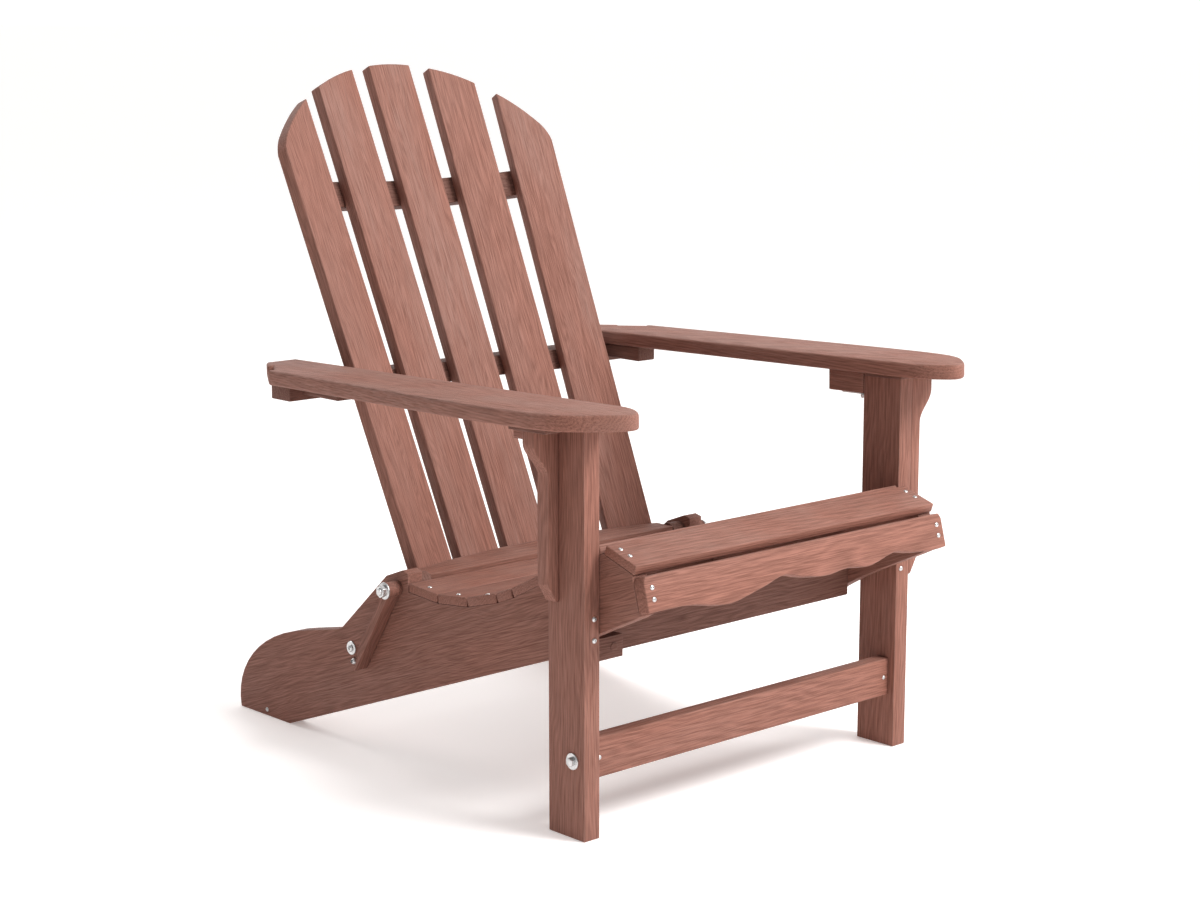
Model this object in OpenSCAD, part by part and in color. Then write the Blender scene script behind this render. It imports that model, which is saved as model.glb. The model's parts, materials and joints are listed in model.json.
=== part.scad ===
// Folding adirondack chair built from planks.
// The front faces -Y, up is +Z, and the origin is on the floor at the middle of the overall box.
// Profiles seen from the side are written as [y, z], with y = 0 at the front face of the front legs.

/* [Overall] */
// Width across the outer faces of the front legs
chair_w = 628; // [560:1:700]
// Height of the arms' underside above the floor at the front legs
arm_h = 542.5; // [500:0.5:600]
// Length of the back slats up to the top of the arch, from the arms' level
back_above_arms = 526; // [440:1:600]
// Lean of the back from upright, in degrees
back_lean = 24.6; // [20:0.2:28]

/* [Front legs] */
// Thickness of a leg
leg_t = 26; // [20:1:32]
// Depth of a leg, front to rear
leg_d = 68; // [60:1:90]
// Gap between a leg and the side rail it turns on
leg_gap = 1; // [0.6:0.1:3]
// Height of the bolt that the leg turns on
leg_pivot_z = 285; // [275:1:300]
// Radius of the bolt that the leg turns on
leg_bolt_r = 4; // [3:0.5:5]
// Depth of the bolt in the leg
leg_bolt_depth = 18; // [12:1:20]
// Distance of the front stretcher from the legs' front faces
stretcher_setback = 11; // [6:1:30]
// Thickness of the front stretcher
stretcher_t = 22; // [16:1:26]
// Height of the front stretcher
stretcher_h = 54; // [40:1:64]
// Height of the stretcher's lower edge above the floor
stretcher_z = 76; // [60:1:90]

/* [Arm brackets] */
// Thickness of a bracket, front to rear
bracket_t = 21; // [14:1:26]
// Width of a bracket at its top
bracket_top_w = 43; // [34:1:52]
// Width of a bracket along its stem
bracket_stem_w = 19; // [12:1:26]
// Height of the straight top of a bracket
bracket_top_h = 20; // [10:1:40]
// Height of a bracket's curved throat
bracket_throat_h = 44; // [30:1:60]
// Length of the left bracket from top to bottom
bracket_left_l = 228; // [160:1:250]
// Length of the right bracket from top to bottom
bracket_right_l = 284; // [160:1:300]
// Distance of the left bracket from the leg's front face
bracket_left_y = 47; // [0:1:47]
// Distance of the right bracket from the leg's front face
bracket_right_y = 0; // [0:1:47]

/* [Side rails] */
// Thickness of a side rail
rail_t = 25; // [20:1:30]
// Front edge of the flat sole of a rear foot
foot_front_y = 685; // [640:1:720]
// Rear edge of the flat sole of a rear foot
foot_rear_y = 812; // [780:1:850]
// Height of the rail's rounded tail
tail_h = 152; // [130:1:170]
// Height of the hump that carries the back's bolt
hump_z = 283; // [276:1:300]

/* [Seat] */
// Thickness of a seat slat
seat_t = 13; // [10:1:18]
// Width of a seat slat
seat_slat_w = 62; // [56:0.5:64]
// Width of the narrow seat slat
narrow_slat_w = 32; // [26:0.5:36]
// Gap between seat slats
seat_gap = 3; // [2:0.5:5]
// Width of the sloping front slat
front_slat_w = 56; // [48:1:60]
// Height of the lowest part of the rails' seat curve
seat_low_z = 249.5; // [240:0.5:260]
// Thickness of the wavy front apron
apron_t = 19; // [12:1:24]
// Height of the apron between its waves
apron_h = 51; // [46:1:62]
// Depth of the apron's largest wave
apron_wave = 11; // [2:1:14]

/* [Back] */
// Thickness of a back slat
back_t = 20; // [14:1:22]
// Width of a back slat at the top
back_slat_w = 78; // [70:1:84]
// Width of a back slat at its foot
back_slat_foot_w = 79; // [70:1:82]
// Distance between the middles of neighbouring slats at the arch
back_pitch_top = 112; // [110:0.5:112.5]
// Distance between the middles of neighbouring slats at the seat
back_pitch_foot = 96; // [88:0.5:97]
// Radius of the shallow curve that the slats stand on across the back
back_curve_r = 1060; // [800:20:1600]
// Radius of the arch along the top of the back
arch_r = 315; // [300:5:420]
// Length of the back slats below the arms' level
back_below_arms = 306; // [290:1:310]
// Height of the upper brace
brace_h = 41; // [30:1:50]
// Thickness of the back's braces
brace_t = 18; // [14:1:22]
// Radius of the bolt that the back turns on
back_bolt_r = 5; // [4:0.5:6]

/* [Arms] */
// Thickness of an arm
arm_t = 21; // [16:1:26]
// Width of an arm near the front
arm_front_w = 120; // [100:1:136]
// Width of an arm at the rear
arm_rear_w = 104; // [80:1:110]
// Overhang of an arm in front of the leg
arm_overhang = 88; // [80:1:120]
// Length over which an arm narrows to its nose
arm_nose_l = 188; // [120:1:200]
// Length of an arm behind the leg's front face
arm_back_l = 674; // [655:1:700]
// Slope of an arm towards the rear, in degrees
arm_slope = 1.2; // [0:0.1:2]
// Thickness of the plate between an arm and its leg
plate_t = 5; // [3:0.5:8]
// Height of the cleats under an arm
cleat_h = 27; // [22:1:32]
// Length of the cleat behind a leg
cleat_l = 66; // [50:1:80]

/* [Clamp levers] */
// Thickness of a clamp lever
lever_t = 22; // [12:1:24]
// Length of a clamp lever from its bolt to its tip
lever_l = 152; // [120:1:160]

/* [Fits] */
// Radial clearance of a turning pin or bolt
turn_c = 0.05; // [0.02:0.01:0.1]
// Gap between faces that move past each other
face_c = 0.4; // [0.3:0.1:1]

/* [Hidden] */
$fn = 48;

// Colours
plank = [0.55, 0.36, 0.31];
plank_dark = [0.45, 0.30, 0.26];
steel = [0.75, 0.75, 0.76];

// Places across the chair
leg_out = chair_w / 2;
leg_in = leg_out - leg_t;
rail_out = leg_in - leg_gap;
rail_in = rail_out - rail_t;
seat_half = rail_out;

// Side profile of the rails
crest = [-5, seat_low_z + 125.5];
front_drop = 17.5;
rail_nose = [crest[0] - front_slat_w * cos(18), crest[1] - front_slat_w * sin(18)];
rail_chin = [rail_nose[0] - 54 * sin(15), rail_nose[1] - 54 * cos(15)];
belly = [104, 213.5];
seat_low_y = 335;
seat_rear_y = 393;
seat_join_y = 141;
seat_k = (crest[1] - seat_low_z)
    / (pow(seat_low_y - seat_join_y, 2) + 2 * (seat_low_y - seat_join_y) * (seat_join_y - crest[0]));
hump_rear = [442, hump_z - 14];
slope_foot = [551, tail_h + 20];

// Pivots, as [y, z]
leg_pivot = [leg_d / 2, leg_pivot_z];
back_pivot = [416, seat_low_z + 6];

// The back's own frame: its front face passes through this point at the arms' level
back_at_arms = [572, 490];
// The fan of slats narrows to fit between the hinge plates when the chair is made narrower
back_fit = min(1, (rail_in - face_c - 30) / (2 * back_pitch_foot + back_slat_foot_w / 2));
bend_step = pitch_at(360) / back_curve_r * 180 / PI;
cross_bar_z0 = 501;
cross_bar_rear = 648;
cross_bar_half = leg_out + 16;
cross_bar_front = 604;

// Places along an arm, measured in its own sloping frame
arm_in_front = leg_out - 42;
arm_in_rear = leg_out - 46;
arm_out_front = arm_in_front + arm_front_w;
arm_out_rear = arm_in_rear + arm_rear_w;
rest_in = leg_out - 41;
rest_out = leg_out - 6;
rest_front = 520;
rest_z0 = 509;

// Small steel hinge between a leg's rear face and its arm's cleat
knuckle_r = 3.4;
hinge_pin_r = 1.9;
leaf_t = 1.5;
leaf_l = 34;
hinge_y = leg_d + knuckle_r + 1.9;
hinge_z = -plate_t - cleat_h - knuckle_r - 0.2;
hinge_in = leg_in + 2;
hinge_out = leg_out - 2;
knuckle_l = (hinge_out - hinge_in) / 3;
cleat_y0 = leg_d + 2;

// The lever hangs from its bolt towards the rear
lever_dir = 32.8;
lever_head_r = 11;
washer_t = 2;

// Shift that puts the origin at the middle of the overall box
apron_front = rail_nose[0] - apron_t * cos(15)
    - max([for (i = [-24:24]) apron_drop(i / 24 * seat_half)]) * sin(15);
front_end = min(min([for (p = arm_nose()) p[1]]) * cos(arm_slope), apron_front);
rear_end = max(back_point(back_above_arms, back_t)[0], foot_rear_y + 4);
middle_y = (front_end + rear_end) / 2;

function mix(a, b, t) = a * (1 - t) + b * t;

// Points on a cubic curve from a to d, with b and c as its handles
function curve(a, b, c, d, n) = [for (i = [0:n]) let (t = i / n)
    mix(mix(mix(a, b, t), mix(b, c, t), t), mix(mix(b, c, t), mix(c, d, t), t), t)];

// Height of the rails' seat curve: a bowl that runs out into a straight slope up to the crest
function seat_z(y) = y >= seat_join_y
    ? seat_low_z + seat_k * pow(y - seat_low_y, 2)
    : seat_z(seat_join_y) + 2 * seat_k * (seat_low_y - seat_join_y) * (seat_join_y - y);
function seat_point(y) = [y, seat_z(y)];
function seat_slope(y) = atan(2 * seat_k * (seat_low_y - max(y, seat_join_y)));
// The y that is a slat's width further forward along the seat curve
function along_seat(y, w) = y - w * cos(seat_slope(y - w / 2));

// Widths of the seat slats from the rear, and where each one's rear edge is
seat_widths = [for (i = [1:7]) i == 4 ? narrow_slat_w : seat_slat_w];
function slat_rear_y(i) = i == 0
    ? seat_rear_y - 1
    : along_seat(along_seat(slat_rear_y(i - 1), seat_widths[i - 1]), seat_gap);

function slat_front_y(i) = along_seat(slat_rear_y(i - 1), seat_widths[i - 1]);

// Point on the back, s along it from the arms' level and d behind its front face
function back_point(s, d = 0) = [
    back_at_arms[0] + s * sin(back_lean) + d * cos(back_lean),
    back_at_arms[1] + s * cos(back_lean) - d * sin(back_lean)];

// Where the planes d behind neighbouring slats meet, k steps from the middle, as [x, depth]
function bend_corner(k, d) = let (r = (back_curve_r + d) / cos(bend_step / 2))
    [r * sin(k * bend_step), r * cos(k * bend_step) - back_curve_r];
// Depth of the plane d behind an outer slat, at x
function bend_depth(x, d) = (back_curve_r + d - x * sin(2 * bend_step)) / cos(2 * bend_step) - back_curve_r;
function bend_line(half, d) = concat([[-half, bend_depth(half, d)]],
    [for (k = [-1.5:1.5]) bend_corner(k, d)], [[half, bend_depth(half, d)]]);

// A point of an arm's sloping frame, as [y, z] of the chair
function from_arm(y, z) = [y * cos(arm_slope) + z * sin(arm_slope),
    arm_h - y * sin(arm_slope) + z * cos(arm_slope)];
// Height of a plane below an arm's underside, at y
function under_arm(y, drop) = arm_h - drop / cos(arm_slope) - y * tan(arm_slope);
arm_pivot = from_arm(hinge_y, hinge_z);

// Everything is drawn with y = 0 at the legs, then moved so that the origin is central
module placed() translate([0, -middle_y, 0]) children();
module left() mirror([1, 0, 0]) children();
module both() {
    children();
    left() children();
}

// A plate between x0 and x1 whose outline is drawn as [y, z]
module side_plate(x0, x1) translate([x0, 0, 0]) rotate([90, 0, 90]) linear_extrude(x1 - x0) children();
// A round bar along X
module bar_x(x0, x1, yz, r) translate([x0, yz[0], yz[1]]) rotate([0, 90, 0]) cylinder(h = x1 - x0, r = r);
// A hexagon along X
module hex_x(x0, x1, yz, r) translate([x0, yz[0], yz[1]]) rotate([0, 90, 0])
    cylinder(h = x1 - x0, r = r, $fn = 6);
// Children drawn in the frame of the back: x across, y behind the front face, z along the slats
module on_back() translate([0, back_at_arms[0], back_at_arms[1]]) rotate([-back_lean, 0, 0]) children();
module on_arm() translate([0, 0, arm_h]) rotate([-arm_slope, 0, 0]) children();
// A domed screw head whose face looks along -Y
module screw_head(r = 3.6, h = 2) rotate([90, 0, 0]) cylinder(h = h, r1 = r, r2 = r * 0.55);

// ---- Seat frame ----

module rail_outline() polygon(concat(
    [seat_point(seat_rear_y)],
    [for (i = [1:7], e = [0, 1]) seat_point(e == 0 ? slat_rear_y(i - 1) : slat_front_y(i))],
    [crest, rail_nose, rail_chin],
    curve(rail_chin, rail_chin + [22, -14], belly + [-66, 44], belly, 8),
    [[foot_front_y, 0], [foot_rear_y, 0]],
    curve([foot_rear_y, 0], [foot_rear_y + 14, 62], [foot_rear_y - 50, 128], [foot_rear_y - 172, tail_h], 12),
    [slope_foot + [14, -4], slope_foot, hump_rear, [seat_rear_y + 12, hump_z], [seat_rear_y, hump_z - 3]]
));

module side_rail() color(plank) placed() difference() {
    side_plate(rail_in, rail_out) rail_outline();
    bar_x(rail_in - 1, rail_out + 1, leg_pivot, leg_bolt_r + turn_c);
    bar_x(rail_in - 1, rail_out + 1, back_pivot, back_bolt_r);
}
module side_rail_left() left() side_rail();
module side_rail_right() side_rail();

module front_cross_brace() color(plank_dark) placed() side_plate(-rail_in, rail_in)
    translate([68, 218]) square([20, 82]);

// Corner block in front of the cross brace on the left, with a round plug
module brace_block() color(plank_dark) placed() left() {
    translate([rail_in - 56, 44, 218]) cube([56, 24, 30]);
    translate([rail_in - 40, 44, 233]) rotate([90, 0, 0]) cylinder(h = 1, r = 6);
}
module rear_seat_bearer() color(plank_dark) placed() side_plate(-rail_in, rail_in)
    translate([340, seat_low_z - 48]) square([18, 46]);

// Seat slat number i, lying across both rails
module seat_slat(i) {
    a = seat_point(slat_rear_y(i - 1));
    b = seat_point(slat_front_y(i));
    slope = atan2(b[1] - a[1], a[0] - b[0]);
    color(plank) placed() translate([-seat_half, a[0], a[1]]) rotate([-slope, 0, 0])
        translate([0, -norm(b - a), 0]) cube([2 * seat_half, norm(b - a), seat_t]);
}
module seat_slat_1() seat_slat(1);
module seat_slat_2() seat_slat(2);
module seat_slat_3() seat_slat(3);
module seat_slat_4() seat_slat(4);
module seat_slat_5() seat_slat(5);
module seat_slat_6() seat_slat(6);
module seat_slat_7() seat_slat(7);

// The front slat slopes down to the nose and reaches over the apron
module on_nose() translate([0, crest[0], crest[1]]) rotate([18, 0, 0]) children();
module front_seat_slat() color(plank) placed() on_nose()
    translate([-seat_half, -front_slat_w - 4, 0]) cube([2 * seat_half, front_slat_w + 2, seat_t]);

// The apron hangs square to the rails' noses; its lower edge is wavy
module on_apron() translate([0, rail_nose[0], rail_nose[1]]) rotate([-15, 0, 0]) children();
function lobe(x, w) = exp(-x * x / (w * w));
function apron_drop(x) = apron_h + apron_wave
    * (lobe(x + 147, 46) - 0.85 * lobe(x + 40, 30) + 0.35 * lobe(x - 40, 26)
    + 0.4 * lobe(x - 122, 24) - 0.6 * lobe(x - 182, 26) + 0.25 * lobe(x - 262, 30));
module apron_outline() polygon(concat(
    [[-seat_half + 4, -5], [-seat_half, -12]],
    [for (i = [-24:24]) let (x = i / 24 * seat_half) [x, -apron_drop(x)]],
    [[seat_half, -12], [seat_half - 4, -5]]
));
module front_apron() color(plank) placed() on_apron() rotate([90, 0, 0])
    linear_extrude(apron_t) apron_outline();

screw_x = (rail_in + rail_out) / 2;
module seat_screws() color(steel) placed() {
    for (i = [1:7]) {
        a = seat_point(slat_rear_y(i - 1));
        b = seat_point(slat_front_y(i));
        slope = atan2(b[1] - a[1], a[0] - b[0]);
        both() translate([screw_x, (a[0] + b[0]) / 2, (a[1] + b[1]) / 2]) rotate([-slope, 0, 0])
            translate([0, 0, seat_t]) cylinder(h = 1.6, r1 = 3.4, r2 = 2);
    }
    on_nose() both() for (k = [1:2]) translate([screw_x, -front_slat_w * (0.32 * k - 0.02), seat_t])
        cylinder(h = 1.6, r1 = 3.4, r2 = 2);
}
module apron_screws() color(steel) placed() on_apron() both() for (k = [0:1])
    translate([screw_x, -apron_t, -20 - 15 * k]) screw_head();

// Hardware on the outer faces of the rails
stop_bolt = [526, 148];
lower_bolt = [519, 130];
module rail_bolts() color(steel) placed() both() {
    bar_x(rail_out, rail_out + washer_t, stop_bolt, 10);
    bar_x(rail_out + washer_t, rail_out + 5, stop_bolt, 5.5);
    bar_x(rail_out, rail_out + 6, lower_bolt, 5);
}
module foot_screws() color(steel) placed() both() bar_x(rail_out, rail_out + 1.5, [743, 9], 3.4);

// ---- Back pivots and clamp levers ----

plate_in = rail_in - face_c - 24;
lever_in = rail_out + face_c;
lever_out = lever_in + lever_t;
module back_pivot_bolts() color(steel) placed() both() {
    bar_x(plate_in - face_c - 7, lever_out + face_c + 11, back_pivot, back_bolt_r);
    bar_x(plate_in - face_c - 7, plate_in - face_c, back_pivot, 10);
}
module back_pivot_nuts() color(steel) placed() both() difference() {
    union() {
        bar_x(lever_out + face_c, lever_out + face_c + washer_t, back_pivot, 12);
        hex_x(lever_out + face_c + washer_t, lever_out + face_c + 9, back_pivot, 9);
    }
    bar_x(lever_out, lever_out + face_c + 12, back_pivot, back_bolt_r);
}

// Outline of a lever, hanging straight down from its bolt: a round head and a blade that ends in a point
module lever_outline() {
    circle(r = lever_head_r);
    polygon([[-8.8, 0], [-8.8, 4 - lever_l], [-7, -lever_l], [5.7, -0.68 * lever_l], [2.5, -0.25 * lever_l],
        [lever_head_r * 0.8, -lever_head_r * 0.6]]);
}
module clamp_lever() color(plank_dark) placed() difference() {
    side_plate(lever_in, lever_out) translate(back_pivot) rotate(lever_dir) lever_outline();
    bar_x(lever_in - 1, lever_out + 1, back_pivot, back_bolt_r + turn_c);
}
module clamp_lever_left() left() clamp_lever();
module clamp_lever_right() clamp_lever();

// ---- Back ----

// Outline of the whole back, laid flat: straight sides under a round arch with soft shoulders
shoulder_r = 64;
back_half_top = 2 * pitch_at(400) + half_at(500);
arch_s = back_above_arms - arch_r;
shoulder_x = back_half_top - shoulder_r;
shoulder_s = arch_s + sqrt(pow(arch_r - shoulder_r, 2) - pow(shoulder_x, 2));
wedge = 2 * arch_r / norm([shoulder_x, shoulder_s - arch_s]);
module arch() {
    intersection() {
        translate([0, arch_s]) circle(r = arch_r, $fn = 96);
        polygon([[0, arch_s], [shoulder_x * wedge, arch_s + (shoulder_s - arch_s) * wedge],
            [0, arch_s + 3 * arch_r], [-shoulder_x * wedge, arch_s + (shoulder_s - arch_s) * wedge]]);
    }
    both() translate([shoulder_x, shoulder_s]) circle(r = shoulder_r);
    translate([-back_half_top, -back_below_arms]) square([2 * back_half_top, back_below_arms + shoulder_s]);
}
// Slat number i of the fan, with i = 0 at the middle and the foot narrower than the top
function pitch_at(s) = back_fit * mix(back_pitch_foot, back_pitch_top, (s + 262) / 762);
function half_at(s) = back_fit * mix(back_slat_foot_w, back_slat_w, (s + 262) / 762) / 2;
module slat_strip(i) {
    s0 = -back_below_arms;
    s1 = back_above_arms + 10;
    polygon([
        [i * pitch_at(s0) - half_at(s0), s0], [i * pitch_at(s0) + half_at(s0), s0],
        [i * pitch_at(s1) + half_at(s1), s1], [i * pitch_at(s1) - half_at(s1), s1]]);
}
// The slats stand side by side on a shallow curve, each one flat
module on_slat(i) translate([back_curve_r * sin(i * bend_step), back_curve_r * (cos(i * bend_step) - 1), 0])
    rotate([0, 0, -i * bend_step]) translate([-i * pitch_at(360), 0, 0]) children();
module back_slat(i) color(plank) placed() on_back() on_slat(i) translate([0, back_t, 0]) rotate([90, 0, 0])
    linear_extrude(back_t) intersection() {
        slat_strip(i);
        arch();
    }
module back_slat_1() back_slat(-2);
module back_slat_2() back_slat(-1);
module back_slat_3() back_slat(0);
module back_slat_4() back_slat(1);
module back_slat_5() back_slat(2);

upper_brace_s = 303;
lower_brace_s = -300;
// A band from d0 to d1 behind the slats' front faces, as seen along the slats
module bent_band(half, d0, d1) {
    back = bend_line(half, d1);
    polygon(concat(bend_line(half, d0), [for (i = [len(back) - 1:-1:0]) back[i]]));
}
module back_upper_brace() color(plank_dark) placed() on_back() translate([0, 0, upper_brace_s])
    linear_extrude(brace_h) bent_band(back_half_top - 34, back_t, back_t + brace_t);
module back_lower_brace() color(plank_dark) placed() on_back() difference() {
    translate([0, 0, lower_brace_s]) linear_extrude(36) bent_band(plate_in, back_t, back_t + brace_t);
    for (i = [-2, 2]) on_slat(i) translate([i * pitch_at(lower_brace_s) - 45, 0, lower_brace_s - 1])
        cube([90, back_t, 38]);
}

// The cross bar lies behind the slats at the arms' level; its ends reach out under the arms
bar_middle = arm_in_front - 16;
module bar_profile(y0) polygon([[y0, cross_bar_z0], [cross_bar_rear, cross_bar_z0],
    [cross_bar_rear, under_arm(cross_bar_rear, face_c)], [y0, under_arm(y0, face_c)]]);
module back_cross_bar() color(plank_dark) placed() union() {
    both() side_plate(bar_middle - 1, cross_bar_half) bar_profile(cross_bar_front);
    intersection() {
        side_plate(-bar_middle, bar_middle) bar_profile(cross_bar_front - 70);
        on_back() translate([0, 0, -60]) linear_extrude(160) bent_band(280, back_t, back_t + 120);
    }
}

// Short rests in front of the cross bar's ends carry the rear of each arm
module rear_arm_rests() color(plank_dark) placed() both() side_plate(rest_in, rest_out) polygon([
    [rest_front, rest_z0], [cross_bar_front, rest_z0],
    [cross_bar_front, under_arm(cross_bar_front, face_c)], [rest_front, under_arm(rest_front, face_c)]]);

// Plates at the foot of the back, inside the rails, that turn on the back's bolts
brace_front = bend_depth(plate_in, back_t);
brace_rear = bend_depth(plate_in, back_t + brace_t);
module hinge_plate() difference() {
    side_plate(plate_in, rail_in - face_c) union() {
        translate(back_pivot) circle(r = 17);
        polygon([back_pivot + [-6, 15.9], back_pivot + [30, 8], back_point(-262, brace_rear),
            back_point(lower_brace_s, brace_rear), back_point(lower_brace_s, brace_front),
            back_pivot + [-4, -16.5]]);
    }
    bar_x(plate_in - 1, rail_in + 1, back_pivot, back_bolt_r + turn_c);
}
module back_hinge_plates() color(plank_dark) placed() both() hinge_plate();

// Narrow board that closes the seat between the last slat and the back; its rear edge follows the slats
module back_foot_slat() color(plank) placed() difference() {
    side_plate(-plate_in, plate_in) translate([back_pivot[0] - 11, back_pivot[1] + 1]) square([70, seat_t]);
    on_back() translate([0, 0, -300]) linear_extrude(110) bent_band(280, -1, 90);
    // Room for the heads of the bolts that the back turns on
    both() bar_x(plate_in - 9, plate_in + 1, back_pivot, 10 + face_c);
}

module back_screws() color(steel) placed() on_back()
    for (i = [-2:2], s = [upper_brace_s + brace_h / 2, lower_brace_s + 18])
        on_slat(i) translate([i * pitch_at(s), back_t + brace_t, s]) rotate([0, 0, 180]) screw_head(3.2, 1.2);

// ---- Front legs ----

module front_leg() color(plank) placed() difference() {
    side_plate(leg_in, leg_out) polygon([[0, 0], [leg_d, 0],
        [leg_d, under_arm(leg_d, plate_t + face_c)], [0, under_arm(0, plate_t + face_c)]]);
    bar_x(leg_in - 1, leg_in + leg_bolt_depth, leg_pivot, leg_bolt_r);
}
module front_leg_left() left() front_leg();
module front_leg_right() front_leg();

// Outline of a bracket from the leg's outer face, drawn from its top at z = 0
module bracket_outline(l) polygon(concat(
    [[0, 0], [0, -l], [5, -l], [bracket_stem_w, -l + 24]],
    [for (i = [0:10]) let (t = i / 10, k = (1 - cos(180 * t)) / 2)
        [mix(bracket_stem_w, bracket_top_w, k), -bracket_top_h - bracket_throat_h * (1 - t)]],
    [[bracket_top_w, 0]]
));
module leg_bracket(y, l) color(plank) placed()
    translate([leg_out, y + bracket_t, under_arm(leg_d, plate_t + face_c)])
    rotate([90, 0, 0]) linear_extrude(bracket_t) bracket_outline(l);
module leg_bracket_left() left() leg_bracket(bracket_left_y, bracket_left_l);
module leg_bracket_right() leg_bracket(bracket_right_y, bracket_right_l);

module front_stretcher() color(plank) placed() side_plate(-leg_in, leg_in)
    translate([stretcher_setback, stretcher_z]) square([stretcher_t, stretcher_h]);

stretcher_mid = [stretcher_setback + stretcher_t / 2, stretcher_z + stretcher_h / 2];
module stretcher_bolts() color(steel) placed() both() {
    bar_x(leg_out, leg_out + washer_t, stretcher_mid, 11);
    hex_x(leg_out + washer_t, leg_out + 7, stretcher_mid, 6.5);
}
module leg_screws() color(steel) placed() both() {
    for (z = [263, 291]) translate([leg_in + 9, 0, z]) screw_head(3.8, 2.2);
    translate([leg_in - 10, stretcher_setback, stretcher_mid[1]]) screw_head(3.2, 1.6);
}

// Bolts that the legs turn on, pushed in from inside the rails
module leg_pivot_bolts() color(steel) placed() both() {
    bar_x(rail_in - face_c - 6, leg_in + leg_bolt_depth, leg_pivot, leg_bolt_r);
    bar_x(rail_in - face_c - 6, rail_in - face_c, leg_pivot, 8);
}

// ---- Hinges between the legs and the arms ----

module leg_hinge_leaves() color(steel) placed() both() {
    difference() {
        union() {
            for (k = [0, 2])
                bar_x(hinge_in + k * knuckle_l, hinge_in + (k + 1) * knuckle_l, arm_pivot, knuckle_r);
            side_plate(hinge_in, hinge_out) translate([leg_d, arm_pivot[1] - leaf_l])
                square([leaf_t, leaf_l - knuckle_r - 0.5]);
            for (k = [0, 2]) side_plate(hinge_in + k * knuckle_l, hinge_in + (k + 1) * knuckle_l)
                translate([leg_d, arm_pivot[1] - knuckle_r - 1]) square([leaf_t, knuckle_r + 1]);
        }
        bar_x(hinge_in - 1, hinge_out + 1, arm_pivot, hinge_pin_r);
    }
}
module arm_hinge_pins() color(steel) placed() both()
    bar_x(hinge_in - 0.8, hinge_out + 0.8, arm_pivot, hinge_pin_r);

module arm_hinge_leaf() color(steel) placed() difference() {
    union() {
        bar_x(hinge_in + knuckle_l + face_c, hinge_in + 2 * knuckle_l - face_c, arm_pivot, knuckle_r);
        on_arm() {
            side_plate(hinge_in + knuckle_l + face_c, hinge_in + 2 * knuckle_l - face_c)
                translate([hinge_y, -plate_t - cleat_h - leaf_t]) square([knuckle_r + 1.5, leaf_t]);
            side_plate(hinge_in, hinge_out)
                translate([hinge_y + knuckle_r + 0.8, -plate_t - cleat_h - leaf_t]) square([leaf_l, leaf_t]);
        }
    }
    bar_x(hinge_in, hinge_out, arm_pivot, hinge_pin_r + turn_c);
}
module arm_hinge_leaf_left() left() arm_hinge_leaf();
module arm_hinge_leaf_right() arm_hinge_leaf();

// ---- Arms ----

// Outline of an arm from above: a nose that leans inwards, and a shoulder cut across the rear outer corner
function nose_at(u, v) = [arm_in_front + u * arm_front_w, v * arm_nose_l - arm_overhang];
function tail(list) = [for (i = [1:len(list) - 1]) list[i]];
function arm_nose() = concat(
    curve(nose_at(0, 0.36), nose_at(0, 0.23), nose_at(0.08, 0.14), nose_at(0.17, 0.065), 5),
    tail(curve(nose_at(0.17, 0.065), nose_at(0.28, -0.04), nose_at(0.42, 0), nose_at(0.57, 0.095), 7)),
    tail(curve(nose_at(0.57, 0.095), nose_at(0.93, 0.31), nose_at(1, 0.36), nose_at(1, 1), 12)));
module arm_outline() polygon(concat(
    [[arm_in_rear, arm_back_l]], arm_nose(),
    tail(curve([arm_out_front, arm_nose_l - arm_overhang], [arm_out_front, 200], [arm_out_rear + 12, 320],
        [arm_out_rear, arm_back_l - shoulder_l], 8)),
    [[arm_out_rear - shoulder_w, arm_back_l]]
));
shoulder_w = 52;
shoulder_l = 80;
notch_w = 9;
notch_l = 46;
module arm() color(plank) placed() on_arm() difference() {
    linear_extrude(arm_t) arm_outline();
    // Half-depth notch along the shoulder cut
    translate([arm_out_rear, arm_back_l - shoulder_l, arm_t / 2])
        rotate([0, 0, atan2(shoulder_w, shoulder_l)])
        translate([-notch_w, 8, 0]) cube([notch_w + 10, notch_l, arm_t]);
}
module arm_left() left() arm();
module arm_right() arm();

module arm_plate() color(plank_dark) placed() on_arm() translate([leg_in - 2, -3, -plate_t])
    cube([leg_t + bracket_top_w + 26, leg_d + 1, plate_t]);
module arm_plate_left() left() arm_plate();
module arm_plate_right() arm_plate();

module arm_cleat() color(plank) placed() on_arm() translate([leg_in, cleat_y0, -plate_t - cleat_h])
    cube([leg_t, cleat_l, plate_t + cleat_h]);
module arm_cleat_left() left() arm_cleat();
module arm_cleat_right() arm_cleat();

side_rail_left();
side_rail_right();
front_cross_brace();
brace_block();
rear_seat_bearer();
seat_slat_1();
seat_slat_2();
seat_slat_3();
seat_slat_4();
seat_slat_5();
seat_slat_6();
seat_slat_7();
front_seat_slat();
front_apron();
seat_screws();
apron_screws();
rail_bolts();
foot_screws();
back_pivot_bolts();
back_pivot_nuts();
clamp_lever_left();
clamp_lever_right();
back_slat_1();
back_slat_2();
back_slat_3();
back_slat_4();
back_slat_5();
back_upper_brace();
back_cross_bar();
back_lower_brace();
back_hinge_plates();
back_foot_slat();
rear_arm_rests();
back_screws();
front_leg_left();
front_leg_right();
leg_bracket_left();
leg_bracket_right();
front_stretcher();
stretcher_bolts();
leg_screws();
leg_pivot_bolts();
leg_hinge_leaves();
arm_hinge_pins();
arm_left();
arm_right();
arm_plate_left();
arm_plate_right();
arm_cleat_left();
arm_cleat_right();
arm_hinge_leaf_left();
arm_hinge_leaf_right();
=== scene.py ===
"""Folding adirondack chair of embossed plank, with eased boards and stainless hardware."""

import json
import math

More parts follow.
